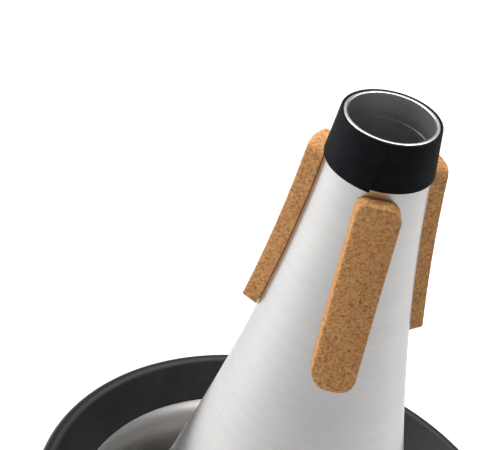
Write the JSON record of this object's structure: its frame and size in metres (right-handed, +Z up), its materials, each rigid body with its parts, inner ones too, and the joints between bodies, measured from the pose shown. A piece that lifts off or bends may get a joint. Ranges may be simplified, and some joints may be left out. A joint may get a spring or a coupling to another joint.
{
  "type": "trumpet adjustable cup mute",
  "caption": "Spun metal cone mute with cork strips and a neck band, in a rubber-edged cup that a knob and threaded stem move along the cone's axis.",
  "frame": {"origin": "centre of the circle that the cup's foot stands on, at the bottom of the object", "axes": "+Z up along the mute's axis, from the cup's foot to the narrow end; -Y is the side the picture is taken from"},
  "size_m": [0.128, 0.128, 0.1903],
  "materials": {
    "spun_aluminium": "satin, fine turned grain",
    "cork": "fine pressed cork grain, sanded",
    "black_flock": "short black flock, matte",
    "black_rubber": "smooth satin rubber",
    "bright_steel": "bright plated",
    "brass": "turned brass",
    "black_plastic": "moulded, fine matte",
    "white_nylon": "turned nylon"
  },
  "bodies": {
    "cup": {"cup_bowl": "spun_aluminium", "cup_rim_ring": "black_rubber", "cup_hub": "white_nylon", "hub_plate": "bright_steel", "hub_rivet_1": "bright_steel", "hub_rivet_2": "bright_steel", "hub_rivet_3": "bright_steel", "spring": "bright_steel", "thrust_washer": "white_nylon"},
    "cone": {"cone": "spun_aluminium", "neck_band": "black_flock", "cork_front": "cork", "cork_left": "cork", "cork_right": "cork", "end_cap": "spun_aluminium", "stem": "bright_steel", "stem_washer": "bright_steel", "stem_nut": "bright_steel", "stop_washer": "bright_steel", "stop_screw": "bright_steel"},
    "knob": {"knob": "black_plastic", "knob_insert": "brass"}
  },
  "joints": [
    {"name": "knob_turn", "type": "hinge", "parent": "cup", "child": "knob", "pos_m": [0, 0, 0], "axis": [0, 0, 1], "range_deg": [0, 2520]},
    {"name": "cone_slide", "type": "slide", "parent": "cup", "child": "cone", "axis": [0, 0, -1], "range_m": [0, 0.014], "deforming": ["spring"]}
  ],
  "couplings": [
    {"joint": "knob_turn", "follows": "cone_slide", "rad_per_m": 3141.6}
  ]
}
